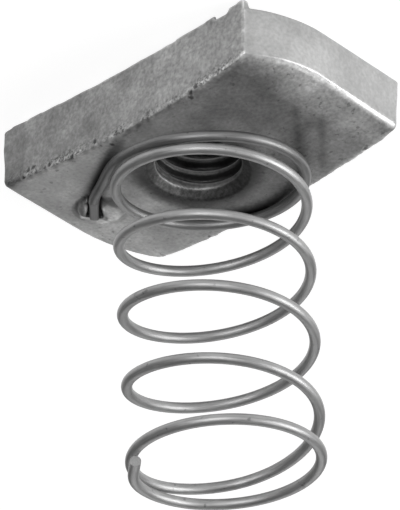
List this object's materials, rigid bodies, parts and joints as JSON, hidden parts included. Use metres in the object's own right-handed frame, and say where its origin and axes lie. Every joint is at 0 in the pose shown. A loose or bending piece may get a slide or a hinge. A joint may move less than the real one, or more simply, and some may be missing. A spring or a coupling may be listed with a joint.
{
  "type": "strut spring nut",
  "caption": "Toothed rectangular nut for strut channel, with a tapped hole and a coil spring staked to its back that holds it up against the channel's lips.",
  "frame": {"origin": "on the axis of the tapped hole, in the plane that the toothed clamping face rests on", "axes": "+Z along the tapped hole, from the clamping face to the spring; +X along the nut's length, which spans the channel; +Y along the channel"},
  "size_m": [0.0358, 0.0237, 0.0424],
  "materials": {
    "nut_steel": "dull electroplated zinc over sheared and pressed steel",
    "spring_wire": "satin drawn spring wire"
  },
  "bodies": {
    "root": {"nut": "nut_steel", "spring": "spring_wire"}
  },
  "joints": []
}
